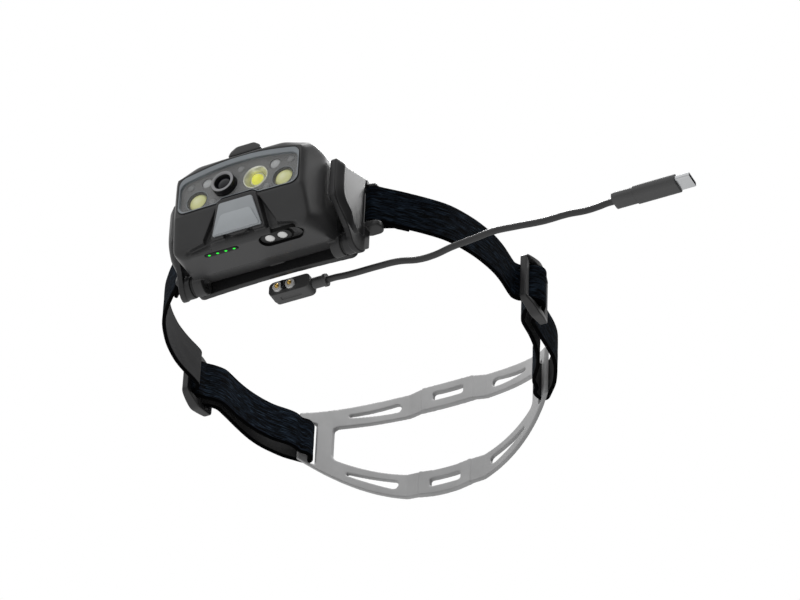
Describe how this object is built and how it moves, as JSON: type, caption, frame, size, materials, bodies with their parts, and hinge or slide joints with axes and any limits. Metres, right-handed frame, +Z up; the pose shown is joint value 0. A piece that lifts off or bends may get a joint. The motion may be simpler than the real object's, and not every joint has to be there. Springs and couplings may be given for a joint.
{
  "type": "headlamp",
  "caption": "Rechargeable headlamp: tilting lamp head on a bracket, elastic head strap with slide buckles, soft rear band and a magnetic charging cable.",
  "frame": {"origin": "centre of the head loop, on the surface that the lamp's lower front edge and the rear band stand on", "axes": "+X to the right as seen by someone who faces the lamp, +Y from the lens to the back of the head, +Z up"},
  "size_m": [0.2893, 0.2171, 0.0648],
  "materials": {
    "housing": "fine satin texture",
    "trim_black": "satin",
    "clear": "polished",
    "bezel": "satin",
    "mask": "satin",
    "mirror_bright": "mirror",
    "phosphor": "satin",
    "dark_glass": "polished",
    "flood_optic": "frosted",
    "diffuser": "frosted",
    "board_white": "solder mask",
    "board_green": "solder mask",
    "metal_plate": "satin anodised",
    "metal": "brushed",
    "steel": "satin",
    "gold": "plated",
    "cell_wrap": "shrink sleeve",
    "seal": "soft",
    "gauge_black": "polished",
    "gauge_green": "lit",
    "foam": "soft matte",
    "webbing": "heather weave",
    "silicone": "satin",
    "cable": "satin"
  },
  "bodies": {
    "head_frame": {"bracket_frame": "housing", "forehead_pad": "foam", "tilt_pins": "steel", "friction_washers": "trim_black", "left_strap_run": "webbing", "right_strap_run": "webbing", "left_strap_tail": "webbing", "right_strap_tail": "webbing", "rear_band": "silicone", "plug_body": "cable", "plug_base": "cable", "plug_magnets": "steel", "plug_key": "trim_black", "plug_neck": "cable", "cord": "cable", "power_plug_collar": "cable", "power_plug_body": "cable", "power_plug_shell": "steel"},
    "lamp_head": {"front_housing": "housing", "rear_housing": "housing", "housing_seal": "seal", "housing_screws": "steel", "front_lens": "clear", "lens_bezel": "bezel", "optics_mask": "mask", "spot_reflector": "mirror_bright", "spot_led": "phosphor", "focus_lens": "dark_glass", "focus_ring": "trim_black", "flood_lenses": "flood_optic", "flood_leds": "phosphor", "aux_lenses": "diffuser", "led_board": "board_white", "heat_sink": "metal", "face_plate": "metal_plate", "battery_cell": "cell_wrap", "battery_contacts": "gold", "main_board": "board_green", "tact_switch": "trim_black", "charge_insert": "trim_black", "charge_pads": "steel", "charge_magnet": "metal", "gauge_window": "gauge_black", "gauge_leds": "gauge_green"},
    "top_button": {"top_button": "housing"},
    "left_buckle": {"left_buckle": "housing", "left_strap_wrap": "webbing"},
    "right_buckle": {"right_buckle": "housing", "right_strap_wrap": "webbing"},
    "left_spring_pin": {"left_spring_pin": "gold"},
    "right_spring_pin": {"right_spring_pin": "gold"}
  },
  "joints": [
    {"name": "head_tilt", "type": "hinge", "parent": "head_frame", "child": "lamp_head", "pos_m": [0, -0.096, 0.0065], "axis": [1, 0, 0], "range_deg": [0, 60]},
    {"name": "button_press", "type": "slide", "parent": "lamp_head", "child": "top_button", "axis": [0, 0, -1], "range_m": [0, 0.0008], "stiffness_N_per_m": 1500, "springref_m": -0.0006},
    {"name": "left_buckle_slide", "type": "slide", "parent": "head_frame", "child": "left_buckle", "axis": [0, 1, 0], "range_m": [-0.006, 0.006], "deforming": ["left_strap_wrap"]},
    {"name": "right_buckle_slide", "type": "slide", "parent": "head_frame", "child": "right_buckle", "axis": [0, 1, 0], "range_m": [-0.006, 0.006], "deforming": ["right_strap_wrap"]},
    {"name": "left_pin_press", "type": "slide", "parent": "head_frame", "child": "left_spring_pin", "axis": [0, 1, 0], "range_m": [0, 0.0008], "stiffness_N_per_m": 400, "springref_m": -0.0005},
    {"name": "right_pin_press", "type": "slide", "parent": "head_frame", "child": "right_spring_pin", "axis": [0, 1, 0], "range_m": [0, 0.0008], "stiffness_N_per_m": 400, "springref_m": -0.0005}
  ]
}
